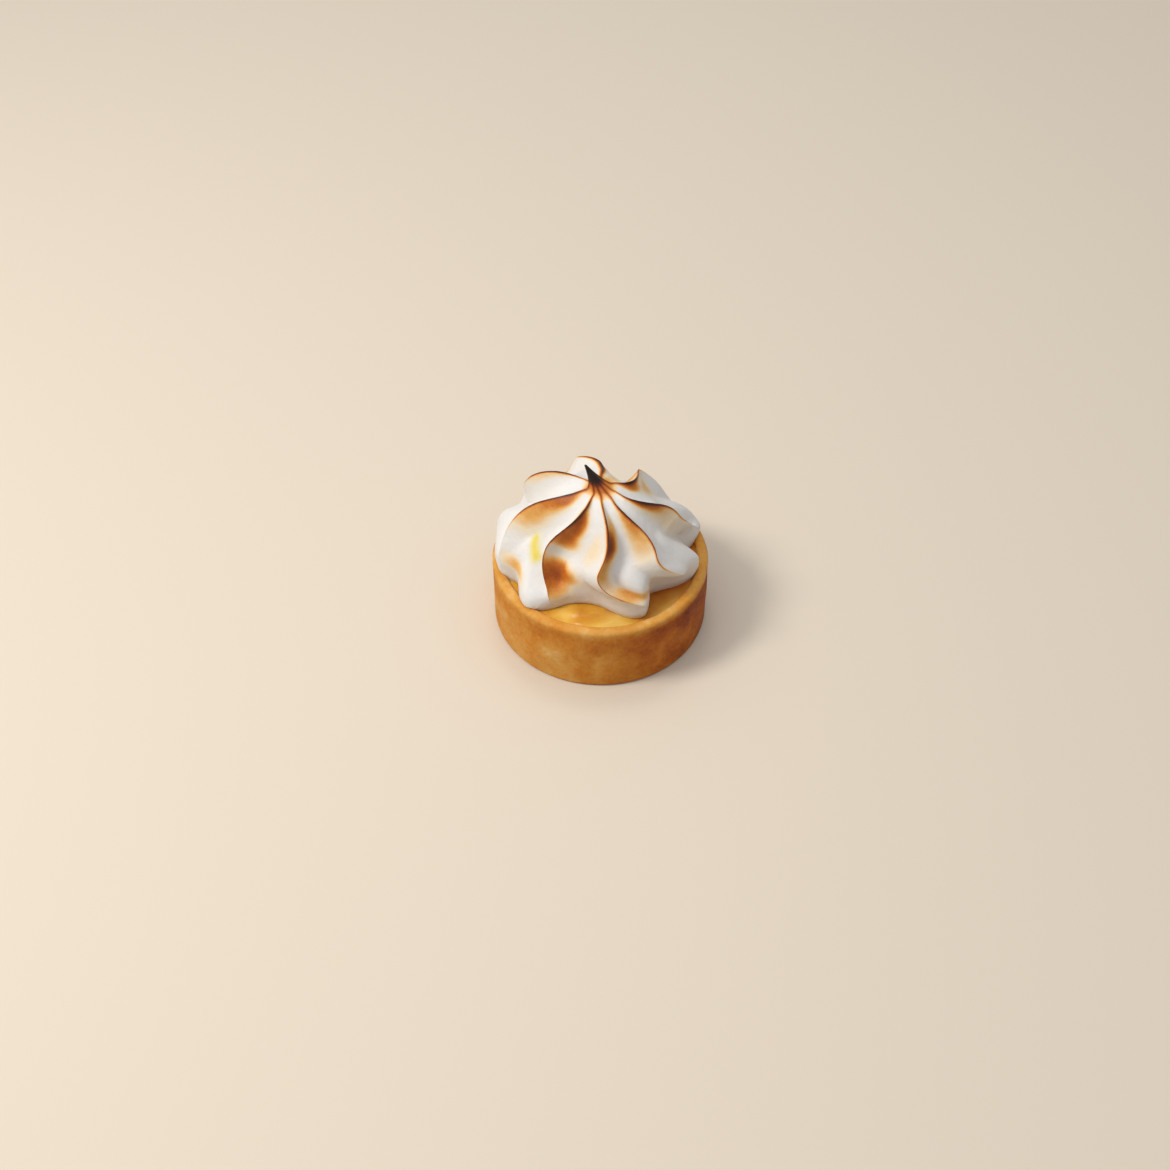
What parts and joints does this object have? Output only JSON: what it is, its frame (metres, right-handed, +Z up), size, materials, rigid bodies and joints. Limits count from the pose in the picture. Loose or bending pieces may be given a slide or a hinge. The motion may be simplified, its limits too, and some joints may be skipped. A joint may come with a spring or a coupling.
{
  "type": "lemon meringue tartlet",
  "caption": "Small round tart: a straight-sided pastry shell filled with lemon curd, under one piped meringue with toasted ridges and a leaning peak.",
  "frame": {"origin": "centre of the flat underside, on the surface the tartlet stands on", "axes": "+Z up through the meringue, -Y the side shown to the front of the picture, +X to its right"},
  "size_m": [0.0601, 0.0603, 0.0529],
  "materials": {
    "crust": "baked shortcrust pastry, matte, golden brown with paler and darker blotches",
    "lemon_curd": "set lemon curd, glossy and slightly translucent yellow",
    "meringue": "soft white meringue with a satin skin, ridges torched dark brown to black"
  },
  "bodies": {
    "root": {"crust": "crust", "lemon_curd": "lemon_curd", "meringue": "meringue"}
  },
  "joints": []
}
